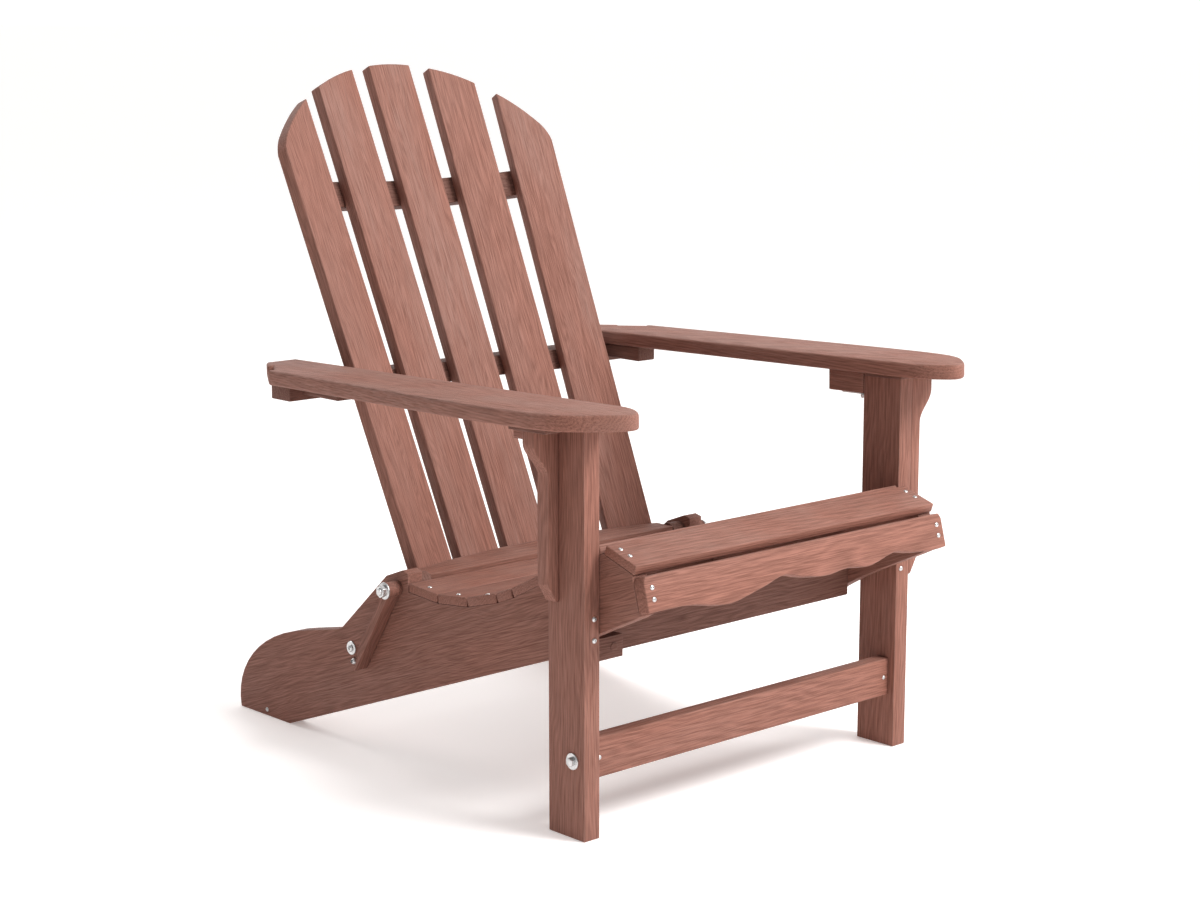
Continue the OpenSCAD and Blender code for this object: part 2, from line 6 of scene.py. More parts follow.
import bmesh
import bpy
from mathutils import Matrix, Vector

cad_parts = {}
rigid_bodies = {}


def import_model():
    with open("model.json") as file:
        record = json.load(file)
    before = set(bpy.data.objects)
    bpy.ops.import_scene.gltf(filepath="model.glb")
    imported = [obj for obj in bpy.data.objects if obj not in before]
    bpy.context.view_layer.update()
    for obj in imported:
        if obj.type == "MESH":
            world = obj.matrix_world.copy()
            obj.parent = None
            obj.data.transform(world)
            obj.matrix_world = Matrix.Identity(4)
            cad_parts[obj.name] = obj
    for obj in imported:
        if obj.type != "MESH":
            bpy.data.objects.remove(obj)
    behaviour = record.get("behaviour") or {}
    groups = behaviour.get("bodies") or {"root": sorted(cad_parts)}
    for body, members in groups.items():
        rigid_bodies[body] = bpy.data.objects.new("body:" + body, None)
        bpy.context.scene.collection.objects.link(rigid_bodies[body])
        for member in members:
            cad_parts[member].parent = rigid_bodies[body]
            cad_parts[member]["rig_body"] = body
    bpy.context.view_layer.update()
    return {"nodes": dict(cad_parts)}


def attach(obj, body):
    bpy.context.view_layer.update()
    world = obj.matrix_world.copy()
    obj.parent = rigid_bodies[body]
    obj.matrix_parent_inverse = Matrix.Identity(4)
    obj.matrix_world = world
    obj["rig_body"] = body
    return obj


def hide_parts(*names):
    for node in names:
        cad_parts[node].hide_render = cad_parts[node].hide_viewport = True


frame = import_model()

bl_info = {
    "name": "Folding Adirondack Chair",
    "version": (1, 0, 0),
    "blender": (4, 5, 0),
    "location": "3D Viewport > Sidebar > Chair",
    "description": "Builds a folding plank chair on its packed frame",
    "category": "Object",
}

MM = 0.001
ALONG_X = Vector((1, 0, 0))
ALONG_Y = Vector((0, 1, 0))
ALONG_Z = Vector((0, 0, 1))


# ---------------------------------------------------------------- settings


class CHAIR_PG_board(bpy.types.PropertyGroup):
    edge: bpy.props.FloatProperty(
        name="Edge", description="Radius of the eased edges of a board", default=1.8 * MM, unit="LENGTH"
    )
    arm_edge: bpy.props.FloatProperty(
        name="Arm Edge", description="Radius of the rounded edges of an arm", default=3.4 * MM, unit="LENGTH"
    )
    segments: bpy.props.IntProperty(
        name="Segments", description="Steps round an eased edge", default=3, min=1, max=6
    )


class CHAIR_PG_plank(bpy.types.PropertyGroup):
    ridge: bpy.props.FloatVectorProperty(
        name="Ridge", description="Colour of the raised grain", subtype="COLOR", size=4,
        default=(0.285, 0.115, 0.080, 1),
    )
    groove: bpy.props.FloatVectorProperty(
        name="Groove", description="Colour deep in the grain", subtype="COLOR", size=4,
        default=(0.145, 0.055, 0.037, 1),
    )
    weathered: bpy.props.FloatVectorProperty(
        name="Weathered", description="Greyed colour of rubbed ridges", subtype="COLOR", size=4,
        default=(0.255, 0.145, 0.118, 1),
    )
    dust: bpy.props.FloatVectorProperty(
        name="Dust", description="Colour of the dust on upper faces", subtype="COLOR", size=4,
        default=(0.42, 0.34, 0.30, 1),
    )
    relief: bpy.props.FloatProperty(
        name="Relief", description="Depth of the embossed grain", default=0.35 * MM, unit="LENGTH"
    )


class CHAIR_PG_stage(bpy.types.PropertyGroup):
    floor_tint: bpy.props.FloatVectorProperty(
        name="Floor", description="Colour of the floor", subtype="COLOR", size=4,
        default=(0.97, 0.945, 0.935, 1),
    )
    floor_glow: bpy.props.FloatProperty(
        name="Floor Glow", description="Faint light of the floor itself, which keeps it pale", default=0.27
    )
    key_power: bpy.props.FloatProperty(
        name="Key Power", description="Strength of the key light", default=185.0, unit="POWER"
    )
    dim_side: bpy.props.FloatProperty(
        name="Dim Side", description="Strength of the world's light from -X", default=0.24
    )
    bright_side: bpy.props.FloatProperty(
        name="Bright Side", description="Strength of the world's light from +X", default=1.2
    )
    lens: bpy.props.FloatProperty(
        name="Lens", description="Focal length of the camera", default=71.24, unit="CAMERA"
    )


# ---------------------------------------------------------------- shader groups


def new_group(name, inputs, outputs):
    """An empty shader node group with named inputs and outputs."""
    group = bpy.data.node_groups.new(name, "ShaderNodeTree")
    for label, kind, value in inputs:
        socket = group.interface.new_socket(label, in_out="INPUT", socket_type=kind)
        if value is not None:
            socket.default_value = value
    for label, kind in outputs:
        group.interface.new_socket(label, in_out="OUTPUT", socket_type=kind)
    return group, group.nodes.new("NodeGroupInput"), group.nodes.new("NodeGroupOutput")


def math_node(nodes, links, operation, a, b=None, clamp=False):
    node = nodes.new("ShaderNodeMath")
    node.operation = operation
    node.use_clamp = clamp
    for socket, value in zip(node.inputs, (a, b)):
        if value is None:
            continue
        if isinstance(value, (int, float)):
            socket.default_value = value
        else:
            links.new(value, socket)
    return node.outputs[0]


def map_range(nodes, links, value, low, high, to_low=0.0, to_high=1.0):
    node = nodes.new("ShaderNodeMapRange")
    links.new(value, node.inputs["Value"])
    node.inputs["From Min"].default_value = low
    node.inputs["From Max"].default_value = high
    node.inputs["To Min"].default_value = to_low
    node.inputs["To Max"].default_value = to_high
    return node.outputs["Result"]


def noise(nodes, links, vector, stretch, scale, detail=3.0, rough=0.55, distortion=0.0):
    """Noise stretched along the first axis of the board's own coordinates."""
    mapping = nodes.new("ShaderNodeMapping")
    mapping.inputs["Scale"].default_value = stretch
    links.new(vector, mapping.inputs["Vector"])
    node = nodes.new("ShaderNodeTexNoise")
    node.inputs["Scale"].default_value = scale
    node.inputs["Detail"].default_value = detail
    node.inputs["Roughness"].default_value = rough
    node.inputs["Distortion"].default_value = distortion
    links.new(mapping.outputs["Vector"], node.inputs["Vector"])
    return node.outputs["Fac"]


def grain_group():
    """Embossed plank grain: growth rings cut at a slant, broken by short fibres that run along the board."""
    group, given, out = new_group(
        "Plank Grain",
        [
            ("Grain", "NodeSocketVector", None), ("Ring Spacing", "NodeSocketFloat", 0.0045),
            ("Slant", "NodeSocketFloat", 0.045),
        ],
        [("Ridge", "NodeSocketFloat"), ("Fibre", "NodeSocketFloat"), ("Patch", "NodeSocketFloat")],
    )
    nodes, links = group.nodes, group.links
    vector = given.outputs["Grain"]
    split = nodes.new("ShaderNodeSeparateXYZ")
    links.new(vector, split.inputs[0])
    along, across, through = split.outputs
    sway_size, waver_size = 0.05, 0.004
    ring_share, fibre_share, pit_share = 0.27, 0.36, 0.37

    def work(operation, a, b=None):
        return math_node(nodes, links, operation, a, b)

    # Growth rings round a pith that leans through the board
    sway = noise(nodes, links, vector, (1.0, 5.0, 5.0), 5.0, 2.0)
    side = work("ADD", across, work("MULTIPLY", work("SUBTRACT", sway, 0.5), sway_size))
    lean = work("ADD", through, work("MULTIPLY", along, given.outputs["Slant"]))
    radius = work("SQRT", work("ADD", work("MULTIPLY", lean, lean), work("MULTIPLY", side, side)))
    waver = noise(nodes, links, vector, (0.5, 4.0, 4.0), 30.0, 2.0)
    wavering = work("ADD", radius, work("MULTIPLY", waver, waver_size))
    saw = work("FRACT", work("DIVIDE", wavering, given.outputs["Ring Spacing"]))
    ring = work("ABSOLUTE", work("SUBTRACT", work("MULTIPLY", saw, 2.0), 1.0))

    # Long thin fibres and pits, drawn out along the board
    fibre = noise(nodes, links, vector, (0.022, 1.0, 1.0), 1150.0, 3.0, 0.62)
    pores = noise(nodes, links, vector, (0.03, 1.0, 1.0), 640.0, 3.0, 0.55, 0.1)
    fibres = map_range(nodes, links, fibre, 0.34, 0.66)
    pits = map_range(nodes, links, pores, 0.38, 0.62)
    fine = work("ADD", work("MULTIPLY", fibres, fibre_share), work("MULTIPLY", pits, pit_share))
    mixed = work("ADD", work("MULTIPLY", ring, ring_share), fine)
    patch = noise(nodes, links, vector, (0.35, 1.6, 1.6), 9.0, 3.0)
    links.new(map_range(nodes, links, mixed, 0.16, 0.84), out.inputs["Ridge"])
    links.new(fibres, out.inputs["Fibre"])
    links.new(map_range(nodes, links, patch, 0.38, 0.64), out.inputs["Patch"])
    return group


def wear_group():
    """How far a point lies on a rubbed corner, broken up along the edge."""
    group, given, out = new_group(
        "Edge Wear",
        [
            ("Radius", "NodeSocketFloat", 3 * MM), ("Amount", "NodeSocketFloat", 1.0),
            ("Coordinates", "NodeSocketVector", None),
        ],
        [("Wear", "NodeSocketFloat")],
    )
    nodes, links = group.nodes, group.links
    bevel = nodes.new("ShaderNodeBevel")
    bevel.samples = 4
    links.new(given.outputs["Radius"], bevel.inputs["Radius"])
    geometry = nodes.new("ShaderNodeNewGeometry")
    turn = nodes.new("ShaderNodeVectorMath")
    turn.operation = "DOT_PRODUCT"
    links.new(bevel.outputs["Normal"], turn.inputs[0])
    links.new(geometry.outputs["Normal"], turn.inputs[1])
    rubbed = map_range(nodes, links, turn.outputs["Value"], 0.995, 0.86)
    spots = noise(nodes, links, given.outputs["Coordinates"], (1, 1, 1), 55.0, 3.0)
    broken = map_range(nodes, links, spots, 0.35, 0.65, 0.35, 1.0)
    worn = math_node(nodes, links, "MULTIPLY", rubbed, broken)
    wear = math_node(nodes, links, "MULTIPLY", worn, given.outputs["Amount"], clamp=True)
    links.new(wear, out.inputs["Wear"])
    return group


def dust_group():
    """Pale dust that gathers unevenly on faces that look upwards."""
    group, given, out = new_group(
        "Settled Dust",
        [("Coordinates", "NodeSocketVector", None), ("Amount", "NodeSocketFloat", 0.15)],
        [("Dust", "NodeSocketFloat")],
    )
    nodes, links = group.nodes, group.links
    geometry = nodes.new("ShaderNodeNewGeometry")
    split = nodes.new("ShaderNodeSeparateXYZ")
    links.new(geometry.outputs["Normal"], split.inputs[0])
    upward = map_range(nodes, links, split.outputs["Z"], 0.3, 1.0)
    drift = noise(nodes, links, given.outputs["Coordinates"], (1, 1, 1), 14.0, 4.0)
    cloud = map_range(nodes, links, drift, 0.35, 0.7)
    settled = math_node(nodes, links, "MULTIPLY", upward, cloud)
    dust = math_node(nodes, links, "MULTIPLY", settled, given.outputs["Amount"], clamp=True)
    links.new(dust, out.inputs["Dust"])
    return group


def place_group(nodes, name, build):
    """A group node in a material; the group itself is built once."""
    node = nodes.new("ShaderNodeGroup")
    node.node_tree = bpy.data.node_groups.get(name) or build()
    return node


def blend_colour(nodes, links, factor, a, b):
    """Mixes two colours; each input is a value or a socket."""
    node = nodes.new("ShaderNodeMix")
    node.data_type = "RGBA"
    for socket, value in ((node.inputs[0], factor), (node.inputs[6], a), (node.inputs[7], b)):
        if isinstance(value, (int, float, tuple)):
            socket.default_value = value
        else:
            links.new(value, socket)
    return node.outputs[2]


def grey(tone):
    return (tone, tone, tone, 1.0)


def start_material(name):
    material = bpy.data.materials.new(name)
    material.use_nodes = True
    nodes, links = material.node_tree.nodes, material.node_tree.links
    shader = nodes["Principled BSDF"]
    return material, nodes, links, shader


def plank_material(context, name, depth=1.0, spacing=0.0045, slant=0.045, weathering=0.5):
    """Reddish-brown embossed plank; depth darkens it as painted shade for boards that sit in shade,
    weathering greys its ridges.
    """
    found = bpy.data.materials.get(name)
    if found:
        return found
    plank = context.scene.chair_plank
    material, nodes, links, shader = start_material(name)
    attribute = nodes.new("ShaderNodeAttribute")
    attribute.attribute_name = "grain"
    grain_at = attribute.outputs["Vector"]
    grain = place_group(nodes, "Plank Grain", grain_group)
    grain.inputs["Ring Spacing"].default_value = spacing
    grain.inputs["Slant"].default_value = slant
    links.new(grain_at, grain.inputs["Grain"])
    wear = place_group(nodes, "Edge Wear", wear_group)
    wear.inputs["Amount"].default_value = 0.6
    links.new(grain_at, wear.inputs["Coordinates"])
    dust = place_group(nodes, "Settled Dust", dust_group)
    dust.inputs["Amount"].default_value = 0.10
    links.new(grain_at, dust.inputs["Coordinates"])

    def shade(colour, k):
        return tuple(c * k for c in colour[:3]) + (1.0,)

    # depth below 1 darkens every colour of the plank: painted shade
    ridge, groove, weathered = (shade(c, depth) for c in (plank.ridge, plank.groove, plank.weathered))
    base = blend_colour(nodes, links, grain.outputs["Ridge"], groove, ridge)
    rubbed = math_node(nodes, links, "MULTIPLY", grain.outputs["Patch"], grain.outputs["Fibre"])
    greying = math_node(nodes, links, "MULTIPLY", rubbed, weathering, clamp=True)
    greyed = blend_colour(nodes, links, greying, base, weathered)
    # Rubbed corners take the weathered colour, also darkened by depth as painted shade
    worn = blend_colour(nodes, links, wear.outputs["Wear"], greyed, shade(plank.weathered, depth * 1.06))
    dusty = blend_colour(nodes, links, dust.outputs["Dust"], worn, tuple(plank.dust))
    links.new(dusty, shader.inputs["Base Color"])
    roughness = map_range(nodes, links, grain.outputs["Ridge"], 0.0, 1.0, 0.82, 0.60)
    links.new(roughness, shader.inputs["Roughness"])
    shader.inputs["Specular IOR Level"].default_value = 0.35
    bump = nodes.new("ShaderNodeBump")
    bump.inputs["Strength"].default_value = 0.55
    bump.inputs["Distance"].default_value = plank.relief
    links.new(grain.outputs["Ridge"], bump.inputs["Height"])
    links.new(bump.outputs["Normal"], shader.inputs["Normal"])
    return material


def steel_material():
    """Bright stainless steel, finely brushed and a little marked at its corners."""
    name, tone, dull_tone, rough, brushed_rough = "Stainless Steel", 0.66, 0.5412, 0.24, 0.40
    found = bpy.data.materials.get(name)
    if found:
        return found
    material, nodes, links, shader = start_material(name)
    where = nodes.new("ShaderNodeTexCoord").outputs["Object"]
    brushed = noise(nodes, links, where, (1.0, 1.0, 0.12), 1400.0, 2.0)
    cloud = noise(nodes, links, where, (1, 1, 1), 180.0, 3.0)
    wear = place_group(nodes, "Edge Wear", wear_group)
    wear.inputs["Radius"].default_value = 0.8 * MM
    links.new(where, wear.inputs["Coordinates"])
    tint = blend_colour(nodes, links, map_range(nodes, links, cloud, 0.3, 0.7), grey(dull_tone), grey(tone))
    bright = blend_colour(nodes, links, wear.outputs["Wear"], tint, (0.86, 0.86, 0.87, 1))
    links.new(bright, shader.inputs["Base Color"])
    shader.inputs["Metallic"].default_value = 1.0
    links.new(map_range(nodes, links, brushed, 0.3, 0.7, rough, brushed_rough), shader.inputs["Roughness"])
    bump = nodes.new("ShaderNodeBump")
    bump.inputs["Strength"].default_value = 0.15
    bump.inputs["Distance"].default_value = 0.05 * MM
    links.new(brushed, bump.inputs["Height"])
    links.new(bump.outputs["Normal"], shader.inputs["Normal"])
    return material


# ---------------------------------------------------------------- boards and hardware


def merged_copy(node):
    """A bmesh of a CAD node with its loose triangles joined and its flat faces made whole."""
    bm = bmesh.new()
    bm.from_mesh(frame["nodes"][node].data)
    bmesh.ops.remove_doubles(bm, verts=bm.verts, dist=0.02 * MM)
    bmesh.ops.dissolve_limit(bm, angle_limit=math.radians(0.6), verts=bm.verts, edges=bm.edges)
    return bm


def ease_edges(bm, radius, segments, sharp=30.0):
    """Rounds every edge that turns by more than sharp degrees."""
    corners = [e for e in bm.edges if e.is_manifold and e.calc_face_angle(0.0) > math.radians(sharp)]
    bmesh.ops.bevel(
        bm, geom=corners, offset=radius, offset_type="OFFSET", segments=segments, profile=0.5,
        affect="EDGES", material=-1, clamp_overlap=True,
    )


def finish_piece(bm, name, node, material, along=None, across=None, shift=(0, 0, 0), smooth=40.0):
    """Turns a bmesh into the piece that stands for a CAD node, with its grain running along the board.

    shift moves the board through the figure, so that boards don't look cut from one place.
    """
    mesh = bpy.data.meshes.new(name)
    bm.to_mesh(mesh)
    bm.free()
    piece = bpy.data.objects.new(name, mesh)
    bpy.context.scene.collection.objects.link(piece)
    mesh.materials.append(material)
    mesh.shade_smooth()
    mesh.set_sharp_from_angle(angle=math.radians(smooth))
    if along is not None:
        along = Vector(along).normalized()
        through = along.cross(Vector(across)).normalized()
        across = through.cross(along)
        centre = sum((v.co for v in mesh.vertices), Vector()) / max(1, len(mesh.vertices))
        grain = mesh.attributes.new("grain", "FLOAT_VECTOR", "POINT")
        for vertex, value in zip(mesh.vertices, grain.data):
            p = vertex.co - centre
            value.vector = (p.dot(along) + shift[0], p.dot(across) + shift[1], p.dot(through) + shift[2])
    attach(piece, frame["nodes"][node]["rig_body"])
    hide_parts(node)
    return piece


def make_board(context, node, along, across, material, shift, edge=None):
    """The CAD node's own board with eased edges."""
    board = context.scene.chair_board
    bm = merged_copy(node)
    ease_edges(bm, edge or board.edge, board.segments)
    return finish_piece(bm, "eased_" + node, node, material, along, across, shift)


def islands(node):
    """Centre and half size of every separate solid in a CAD node."""
    bm = bmesh.new()
    bm.from_mesh(frame["nodes"][node].data)
    bmesh.ops.remove_doubles(bm, verts=bm.verts, dist=0.01 * MM)
    found = []
    left = set(bm.verts)
    while left:
        start = left.pop()
        reached, queue = [start], [start]
        while queue:
            for edge in queue.pop().link_edges:
                for vert in edge.verts:
                    if vert in left:
                        left.remove(vert)
                        reached.append(vert)
                        queue.append(vert)
        low = Vector(min(v.co[i] for v in reached) for i in range(3))
        high = Vector(max(v.co[i] for v in reached) for i in range(3))
        found.append(((low + high) / 2, (high - low) / 2))
    bm.free()
    return sorted(found, key=lambda item: tuple(item[0]))


def place_shape(bm, verts, normal, spot):
    """Moves a shape modelled on the floor, looking up, so that it looks along normal at spot."""
    matrix = Vector(normal).normalized().to_track_quat("Z", "Y").to_matrix().to_4x4()
    bmesh.ops.transform(bm, matrix=Matrix.Translation(spot) @ matrix, verts=verts)


def turned_bar(bm, profile, normal, spot, steps=32):
    """A solid of (radius, height) steps spun round its axis."""
    before = set(bm.verts)
    points = [bm.verts.new((r, 0, z)) for r, z in profile]
    edges = [bm.edges.new(pair) for pair in zip(points, points[1:])]
    bmesh.ops.spin(
        bm, geom=points + edges, cent=(0, 0, 0), axis=(0, 0, 1), dvec=(0, 0, 0), angle=math.tau, steps=steps,
        use_merge=True, use_duplicate=False,
    )
    made = [v for v in bm.verts if v not in before]
    rim = [e for e in bm.edges if e.is_boundary and all(v in made for v in e.verts)]
    bmesh.ops.holes_fill(bm, edges=rim, sides=0)
    place_shape(bm, [v for v in bm.verts if v not in before], normal, spot)


def domed_head(bm, radius, height, normal, spot):
    """A low domed screw head with a round recess."""
    recess = 0.42 * radius
    profile = [
        (recess * 0.75, height * 0.35), (recess, height * 0.98), (radius * 0.62, height * 0.90),
        (radius * 0.88, height * 0.55), (radius, height * 0.12), (radius, 0.0),
    ]
    turned_bar(bm, profile, normal, spot, steps=24)


def hexagon(bm, radius, height, normal, spot, edge=0.5 * MM):
    """A hexagonal bolt head with eased edges."""
    before = set(bm.verts)
    made = bmesh.ops.create_cone(
        bm, cap_ends=True, cap_tris=False, segments=6, radius1=radius, radius2=radius, depth=height
    )["verts"]
    bmesh.ops.translate(bm, vec=(0, 0, height / 2), verts=made)
    edges = list({e for v in made for e in v.link_edges})
    bmesh.ops.bevel(bm, geom=edges, offset=edge, segments=2, profile=0.5, affect="EDGES", material=-1)
    place_shape(bm, [v for v in bm.verts if v not in before], normal, spot)


def close_normals(bm):
    """Joins doubles and points every face outwards."""
    bmesh.ops.remove_doubles(bm, verts=bm.verts, dist=0.005 * MM)
    bmesh.ops.recalc_face_normals(bm, faces=bm.faces)


# ---------------------------------------------------------------- operators


BACK_LEAN = math.radians(24.6)
BACK_CURVE_RADIUS = 1.06
SLAT_TURN = math.radians(5.9)
SLAT_FAN = math.radians(1.2)
APRON_LEAN = math.radians(15)
LEVER_LEAN = math.radians(32.8)
RAIL_FALL = Vector((0, 0.94, -0.34))
BACK_UP = Vector((0, math.sin(BACK_LEAN), math.cos(BACK_LEAN)))


class CHAIR_OT_back_slats(bpy.types.Operator):
    """Eased back slats, each with grain that follows its place in the fan"""

    bl_idname = "chair.back_slats"
    bl_label = "Back Slats"

    def execute(self, context):
        # Place in the figure, weathering and ring spacing of each slat
        slats = (
            ((0.2, 0.10, 0.03), 0.35, 0.0036),
            ((0.5, 0.13, 0.02), 0.75, 0.0036),
            ((0.9, -0.12, 0.02), 0.7, 0.0036),
            ((0.16, 0.006, 0.004), 0.3, 0.0052),
            ((1.6, 0.16, 0.03), 0.8, 0.0036),
        )
        for number, (shift, weathering, spacing) in enumerate(slats, 1):
            lean = (number - 3) * SLAT_FAN
            turned = Matrix.Rotation((3 - number) * SLAT_TURN, 3, BACK_UP) @ ALONG_X
            along = BACK_UP * math.cos(lean) + turned * math.sin(lean)
            material = plank_material(
                context, f"Plank Back {number}", weathering=weathering, spacing=spacing, slant=0.05
            )
            make_board(context, f"back_slat_{number}", along, turned, material, shift)
        return {"FINISHED"}


class CHAIR_OT_seat_slats(bpy.types.Operator):
    """Eased seat slats, the sloping front slat and the slat at the foot of the back"""

    bl_idname = "chair.seat_slats"
    bl_label = "Seat Slats"

    def execute(self, context):
        material = plank_material(context, "Plank Slat", weathering=0.3, spacing=0.004)
        for number in range(1, 8):
            shift = (number * 0.7, 0.12, 0.02)
            make_board(context, f"seat_slat_{number}", ALONG_X, ALONG_Y, material, shift)
        make_board(context, "front_seat_slat", ALONG_X, ALONG_Y, material, shift=(6.1, 0.10, 0.02))
        make_board(context, "back_foot_slat", ALONG_X, ALONG_Y, material, shift=(7.3, 0.12, 0.02))
        return {"FINISHED"}


class CHAIR_OT_side_rails(bpy.types.Operator):
    """Eased side rails with grain that runs down to the rear feet"""

    bl_idname = "chair.side_rails"
    bl_label = "Side Rails"

    def execute(self, context):
        # depth 0.92 darkens the rails: painted shade
        material = plank_material(context, "Plank Rail", depth=0.92, weathering=0.35)
        for side, start in (("left", 0.4), ("right", 2.2)):
            make_board(context, f"side_rail_{side}", RAIL_FALL, ALONG_Z, material, shift=(start, 0.18, 0.02))
        return {"FINISHED"}


class CHAIR_OT_front_legs(bpy.types.Operator):
    """Eased front legs, their arm brackets and the stretcher between them"""

    bl_idname = "chair.front_legs"
    bl_label = "Front Legs"

    def execute(self, context):
        material = plank_material(context, "Plank Leg", weathering=0.3)
        for side, start in (("left", 0.3), ("right", 1.9)):
            make_board(context, f"front_leg_{side}", ALONG_Z, ALONG_Y, material, shift=(start, 0.09, 0.02))
            bracket_shift = (start + 0.8, 0.07, 0.02)
            make_board(context, f"leg_bracket_{side}", ALONG_Z, ALONG_X, material, bracket_shift)
        make_board(context, "front_stretcher", ALONG_X, ALONG_Z, material, shift=(4.2, 0.1, 0.02))
        return {"FINISHED"}


class CHAIR_OT_arms(bpy.types.Operator):
    """Arm boards with rounded edges, their plates and the cleats below them"""

    bl_idname = "chair.arms"
    bl_label = "Arms"

    def execute(self, context):
        arm_edge, plate_edge = context.scene.chair_board.arm_edge, 0.8 * MM
        top = plank_material(context, "Plank Arm", weathering=0.55, spacing=0.0042, slant=0.04)
        # The plates under the arms take the bracing colour, darkened by depth 0.62: painted shade from the
        # arms above
        under = plank_material(context, "Plank Bracing Painted Shade", depth=0.62, weathering=0.15)
        cleat = plank_material(context, "Plank Leg")
        for side, start in (("left", 0.5), ("right", 2.7)):
            top_shift, under_shift = (start, 0.05, 0.02), (start, 0.1, 0.02)
            make_board(context, f"arm_{side}", ALONG_Y, ALONG_X, top, top_shift, edge=arm_edge)
            make_board(
                context, f"arm_plate_{side}", ALONG_Y, ALONG_X, under, under_shift, plate_edge
            )
            make_board(context, f"arm_cleat_{side}", ALONG_Y, ALONG_Z, cleat, under_shift)
        return {"FINISHED"}


class CHAIR_OT_apron(bpy.types.Operator):
    """Wavy front apron with a bold arched figure in its grain"""

    bl_idname = "chair.apron"
    bl_label = "Front Apron"

    def execute(self, context):
        material = plank_material(context, "Plank Apron", weathering=0.12, spacing=0.0062, slant=0.055)
        make_board(context, "front_apron", ALONG_X, ALONG_Z, material, shift=(0.22, 0.006, 0.004))
        return {"FINISHED"}


class CHAIR_OT_bracing(bpy.types.Operator):
    """Braces, blocks, bearers, rests and hinge plates that hold the boards together"""

    bl_idname = "chair.bracing"
    bl_label = "Bracing"

    def execute(self, context):
        # depth 0.62 darkens the braces, set back under the apron, seat and back: painted shade
        material = plank_material(context, "Plank Bracing Painted Shade", depth=0.62, weathering=0.15)
        boards = {
            "front_cross_brace": (ALONG_X, ALONG_Z), "brace_block": (ALONG_X, ALONG_Z),
            "rear_seat_bearer": (ALONG_X, ALONG_Z), "back_upper_brace": (ALONG_X, BACK_UP),
            "back_cross_bar": (ALONG_X, ALONG_Z), "back_lower_brace": (ALONG_X, BACK_UP),
            "back_hinge_plates": (BACK_UP, ALONG_Y), "rear_arm_rests": (ALONG_Y, ALONG_Z),
        }
        for number, (node, (along, across)) in enumerate(boards.items()):
            make_board(context, node, along, across, material, (number * 0.9, 0.1, 0.02))
        return {"FINISHED"}


class CHAIR_OT_clamp_levers(bpy.types.Operator):
    """Eased clamp levers that turn on the back's bolts"""

    bl_idname = "chair.clamp_levers"
    bl_label = "Clamp Levers"

    def execute(self, context):
        # depth 0.85 darkens the levers: painted shade
        material = plank_material(context, "Plank Lever", depth=0.85, weathering=0.3)
        along = Vector((0, math.sin(LEVER_LEAN), -math.cos(LEVER_LEAN)))
        shift, edge = (0.4, 0.08, 0.02), 2.5 * MM
        for side in ("left", "right"):
            make_board(context, f"clamp_lever_{side}", along, ALONG_Y, material, shift, edge)
        return {"FINISHED"}


class CHAIR_OT_screws(bpy.types.Operator):
    """Domed screws in the seat, apron, feet, back and legs"""

    bl_idname = "chair.screws"
    bl_label = "Screws"

    def execute(self, context):
        steel = steel_material()
        apron_front = Vector((0, -math.cos(APRON_LEAN), math.sin(APRON_LEAN)))
        back_rear = Vector((0, math.cos(BACK_LEAN), -math.sin(BACK_LEAN)))
        heights = {"seat_screws": 1.4 * MM, "apron_screws": 1.9 * MM, "back_screws": 1.2 * MM}
        fit = 0.96  # keeps a head inside the CAD's own
        for node in ("seat_screws", "apron_screws", "foot_screws", "back_screws", "leg_screws"):
            bm = bmesh.new()
            for centre, half in islands(node):
                radius, height = half.x, heights.get(node, half.y * 2)
                if node == "seat_screws":
                    normal = self.slat_normal(centre)
                elif node == "apron_screws":
                    normal = apron_front
                elif node == "foot_screws":
                    normal = Vector((math.copysign(1, centre.x), 0, 0))
                    radius, height = half.z, half.x * 2
                elif node == "back_screws":
                    normal = Matrix.Rotation(-math.asin(centre.x / BACK_CURVE_RADIUS), 3, BACK_UP) @ back_rear
                else:
                    normal = -ALONG_Y
                domed_head(bm, radius * 0.98, height * fit, normal, centre - normal * height * fit / 2)
            close_normals(bm)
            finish_piece(bm, "domed_" + node, node, steel)
        return {"FINISHED"}

    def slat_normal(self, centre):
        """Outward direction of the slat face under a seat screw."""
        slats = [f"seat_slat_{i}" for i in range(1, 8)] + ["front_seat_slat"]
        reach, upward = 40 * MM, 0.7
        best, normal = None, ALONG_Z
        for slat in slats:
            for polygon in frame["nodes"][slat].data.polygons:
                aside = max(0.0, abs(centre.y - polygon.center.y) - reach)
                gap = abs((centre - polygon.center).dot(polygon.normal)) + aside
                if polygon.normal.z > upward and (best is None or gap < best):
                    best, normal = gap, polygon.normal.copy()
        return normal


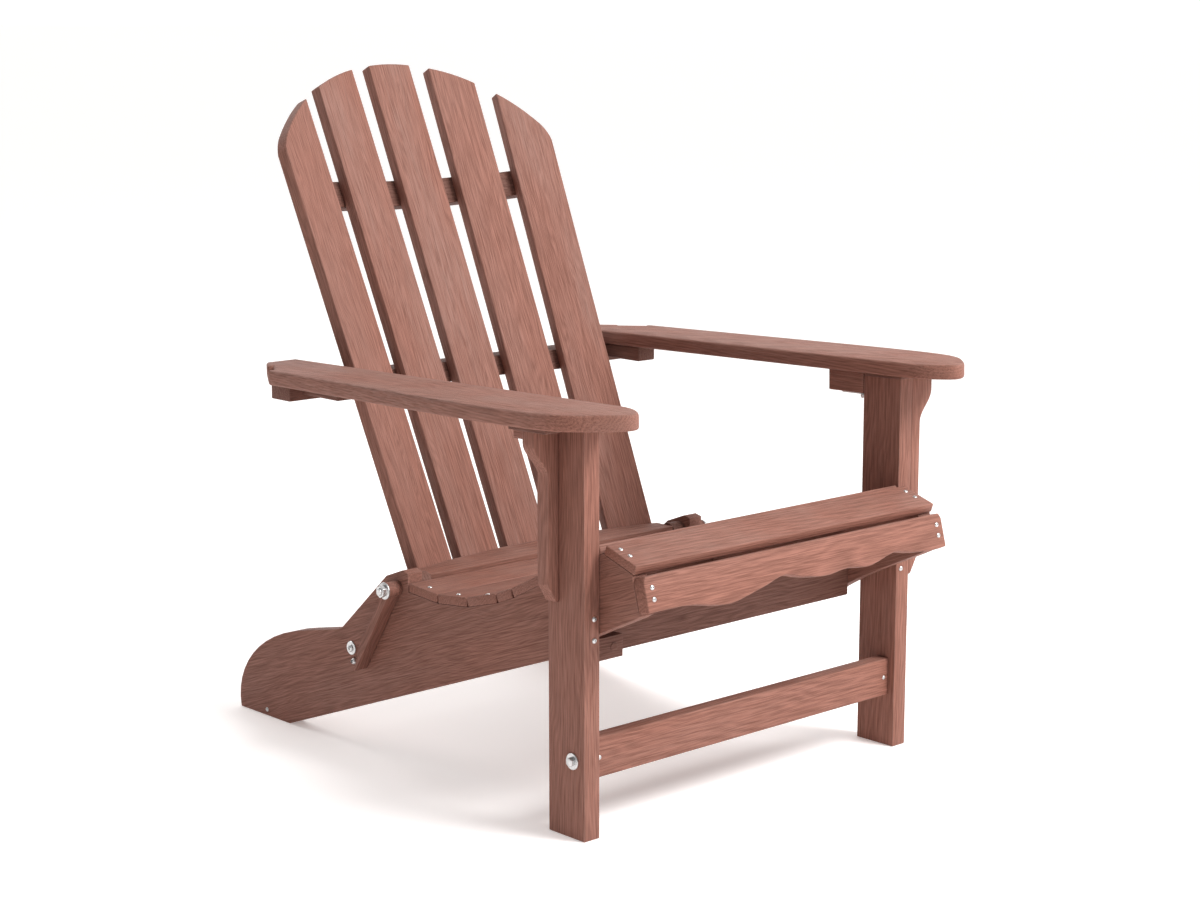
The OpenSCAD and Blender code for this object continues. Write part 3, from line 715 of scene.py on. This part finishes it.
class CHAIR_OT_bolts(bpy.types.Operator):
    """Bolts, washers and nuts, and the hinges between the legs and the arms"""

    bl_idname = "chair.bolts"
    bl_label = "Bolts"

    def execute(self, context):
        steel = steel_material()
        bolts = {
            "stretcher_bolts": "hex", "rail_bolts": "round", "leg_pivot_bolts": "plain",
            "back_pivot_bolts": "plain", "back_pivot_nuts": "plain", "leg_hinge_leaves": "plain",
            "arm_hinge_pins": "plain", "arm_hinge_leaf_left": "plain", "arm_hinge_leaf_right": "plain",
        }
        washer, washer_side, smallest_washer = 2 * MM, 1.4 * MM, 7 * MM
        for node, kind in bolts.items():
            if kind == "plain":
                bm = merged_copy(node)
                ease_edges(bm, 0.35 * MM, 2, sharp=50.0)
                finish_piece(bm, "eased_" + node, node, steel, smooth=35.0)
                continue
            bm = bmesh.new()
            for centre, half in islands(node):
                out = Vector((math.copysign(1, centre.x), 0, 0))
                foot = centre - out * half.x
                depth = half.x * 2
                seat = foot + out * washer
                if kind == "hex":
                    rim = [(half.z, 0.0), (half.z, washer_side), (half.z * 0.96, washer)]
                    turned_bar(bm, [(6.8 * MM, 0.0), *rim, (6.6 * MM, washer)], out, foot)
                    hexagon(bm, 6.4 * MM, depth - washer, out, seat)
                elif half.z > smallest_washer:
                    rim = [(half.z, 0.0), (half.z, washer_side), (half.z * 0.95, washer)]
                    turned_bar(bm, [(0.1 * MM, 0.0), *rim, (0.1 * MM, washer)], out, foot)
                    domed_head(bm, 5.6 * MM, depth - washer, out, seat)
                else:
                    domed_head(bm, half.z, depth, out, foot)
            close_normals(bm)
            finish_piece(bm, "shaped_" + node, node, steel, smooth=35.0)
        return {"FINISHED"}


CAMERA_SPOT = (-2.2606, -2.5072, 1.0362)
CAMERA_AZIMUTH = math.radians(-42.61)
CAMERA_ELEVATION = math.radians(10.34)
FLOOR_HALF = 400.0
FLOOR_GAP = 0.5 * MM


class CHAIR_OT_stage(bpy.types.Operator):
    """Pale floor, soft studio lights and the camera"""

    bl_idname = "chair.stage"
    bl_label = "Stage"

    def execute(self, context):
        scene = context.scene
        stage = scene.chair_stage
        left_share, rear_share = 0.05, 0.22
        self.floor(stage)
        self.light("Key Light", (1.2, -2.9, 3.2), (0, 0, 0.45), 1.8, stage.key_power)
        self.light("Left Fill", (-3.2, -1.4, 1.9), (0, 0, 0.4), 2.4, stage.key_power * left_share)
        self.light("Rear Light", (-0.6, 3.2, 2.8), (0, 0, 0.6), 2.4, stage.key_power * rear_share)
        world = bpy.data.worlds.new("Studio")
        world.use_nodes = True
        nodes, links = world.node_tree.nodes, world.node_tree.links
        direction = nodes.new("ShaderNodeSeparateXYZ")
        links.new(nodes.new("ShaderNodeTexCoord").outputs["Generated"], direction.inputs[0])
        nodes["Background"].inputs["Color"].default_value = (1, 1, 1, 1)
        dimmer = map_range(nodes, links, direction.outputs["X"], -0.6, 0.5, stage.dim_side, stage.bright_side)
        links.new(dimmer, nodes["Background"].inputs["Strength"])
        scene.world = world
        scene.view_settings.view_transform = "Standard"
        self.camera(scene, stage)
        return {"FINISHED"}

    def floor(self, stage):
        bm = bmesh.new()
        bmesh.ops.create_grid(bm, x_segments=2, y_segments=2, size=FLOOR_HALF)
        mesh = bpy.data.meshes.new("floor")
        bm.to_mesh(mesh)
        bm.free()
        mesh.transform(Matrix.Translation((0, 0, -FLOOR_GAP)))
        floor = bpy.data.objects.new("floor", mesh)
        bpy.context.scene.collection.objects.link(floor)
        material, _nodes, _links, shader = start_material("Pale Floor")
        shader.inputs["Base Color"].default_value = stage.floor_tint
        shader.inputs["Roughness"].default_value = 0.7
        shader.inputs["Emission Color"].default_value = (1.0, 0.95, 0.93, 1)
        shader.inputs["Emission Strength"].default_value = stage.floor_glow
        mesh.materials.append(material)

    def light(self, name, spot, target, size, power):
        data = bpy.data.lights.new(name, "AREA")
        data.shape = "DISK"
        data.size = size
        data.energy = power
        lamp = bpy.data.objects.new(name, data)
        bpy.context.scene.collection.objects.link(lamp)
        lamp.location = spot
        lamp.rotation_euler = (Vector(target) - Vector(spot)).to_track_quat("-Z", "Y").to_euler()

    def camera(self, scene, stage):
        data = bpy.data.cameras.new("Studio Camera")
        data.lens = stage.lens
        data.sensor_width = 36
        data.clip_end = 2000
        camera = bpy.data.objects.new("Studio Camera", data)
        scene.collection.objects.link(camera)
        right = Vector((math.cos(CAMERA_AZIMUTH), math.sin(CAMERA_AZIMUTH), 0))
        level = Vector((math.sin(CAMERA_AZIMUTH), -math.cos(CAMERA_AZIMUTH), 0))
        back = level * math.cos(CAMERA_ELEVATION) + ALONG_Z * math.sin(CAMERA_ELEVATION)
        up = back.cross(right)
        turn = Matrix((right, up, back)).transposed().to_4x4()
        camera.matrix_world = Matrix.Translation(CAMERA_SPOT) @ turn
        scene.camera = camera


BUILDERS = (
    CHAIR_OT_back_slats, CHAIR_OT_seat_slats, CHAIR_OT_side_rails, CHAIR_OT_front_legs, CHAIR_OT_arms,
    CHAIR_OT_apron, CHAIR_OT_bracing, CHAIR_OT_clamp_levers, CHAIR_OT_screws, CHAIR_OT_bolts, CHAIR_OT_stage,
)


class CHAIR_PT_panel(bpy.types.Panel):
    """Lists the chair's builders and their settings"""

    bl_idname = "CHAIR_PT_panel"
    bl_label = "Folding Chair"
    bl_space_type = "VIEW_3D"
    bl_region_type = "UI"
    bl_category = "Chair"

    def draw(self, context):
        scene = context.scene
        for group in (scene.chair_board, scene.chair_plank, scene.chair_stage):
            box = self.layout.box()
            for name in group.__annotations__:
                box.prop(group, name)
        for builder in BUILDERS:
            self.layout.operator(builder.bl_idname)


CLASSES = (CHAIR_PG_board, CHAIR_PG_plank, CHAIR_PG_stage) + BUILDERS + (CHAIR_PT_panel,)


def register():
    for cls in CLASSES:
        bpy.utils.register_class(cls)
    bpy.types.Scene.chair_board = bpy.props.PointerProperty(type=CHAIR_PG_board)
    bpy.types.Scene.chair_plank = bpy.props.PointerProperty(type=CHAIR_PG_plank)
    bpy.types.Scene.chair_stage = bpy.props.PointerProperty(type=CHAIR_PG_stage)


def unregister():
    del bpy.types.Scene.chair_stage
    del bpy.types.Scene.chair_plank
    del bpy.types.Scene.chair_board
    for cls in reversed(CLASSES):
        bpy.utils.unregister_class(cls)


def main():
    register()
    for builder in BUILDERS:
        family, action = builder.bl_idname.split(".")
        getattr(getattr(bpy.ops, family), action)()


if __name__ == "__main__":
    main()
